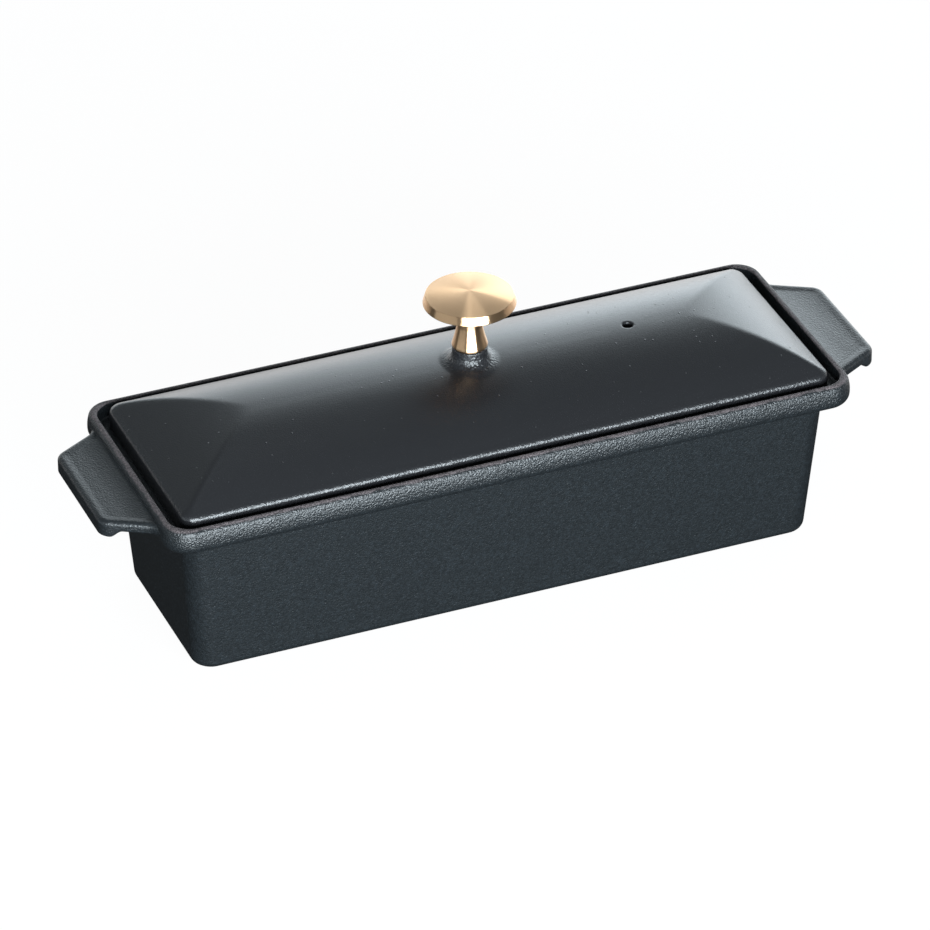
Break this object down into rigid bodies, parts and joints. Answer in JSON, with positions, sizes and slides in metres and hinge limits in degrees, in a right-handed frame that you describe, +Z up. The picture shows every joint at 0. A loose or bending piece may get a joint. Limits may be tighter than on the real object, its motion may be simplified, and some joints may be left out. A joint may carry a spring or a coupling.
{
  "type": "terrine dish",
  "caption": "Long rectangular cast-iron dish with two lug handles and a crowned lid that lies inside the rim, with a turned brass knob.",
  "frame": {"origin": "centre of the base's underside, where the dish stands", "axes": "+X along the dish towards a handle, +Y across it, +Z up"},
  "size_m": [0.34, 0.1084, 0.1262],
  "materials": {
    "dish_iron": "matt black enamel on sand-cast iron",
    "lid_iron": "satin black enamel on sand-cast iron",
    "knob_brass": "spun brass, unlacquered",
    "screw_steel": "plain steel",
    "washer_steel": "plain steel"
  },
  "bodies": {
    "root": {"dish": "dish_iron", "lid": "lid_iron", "knob": "knob_brass", "knob_screw": "screw_steel", "knob_washer": "washer_steel"}
  },
  "joints": []
}
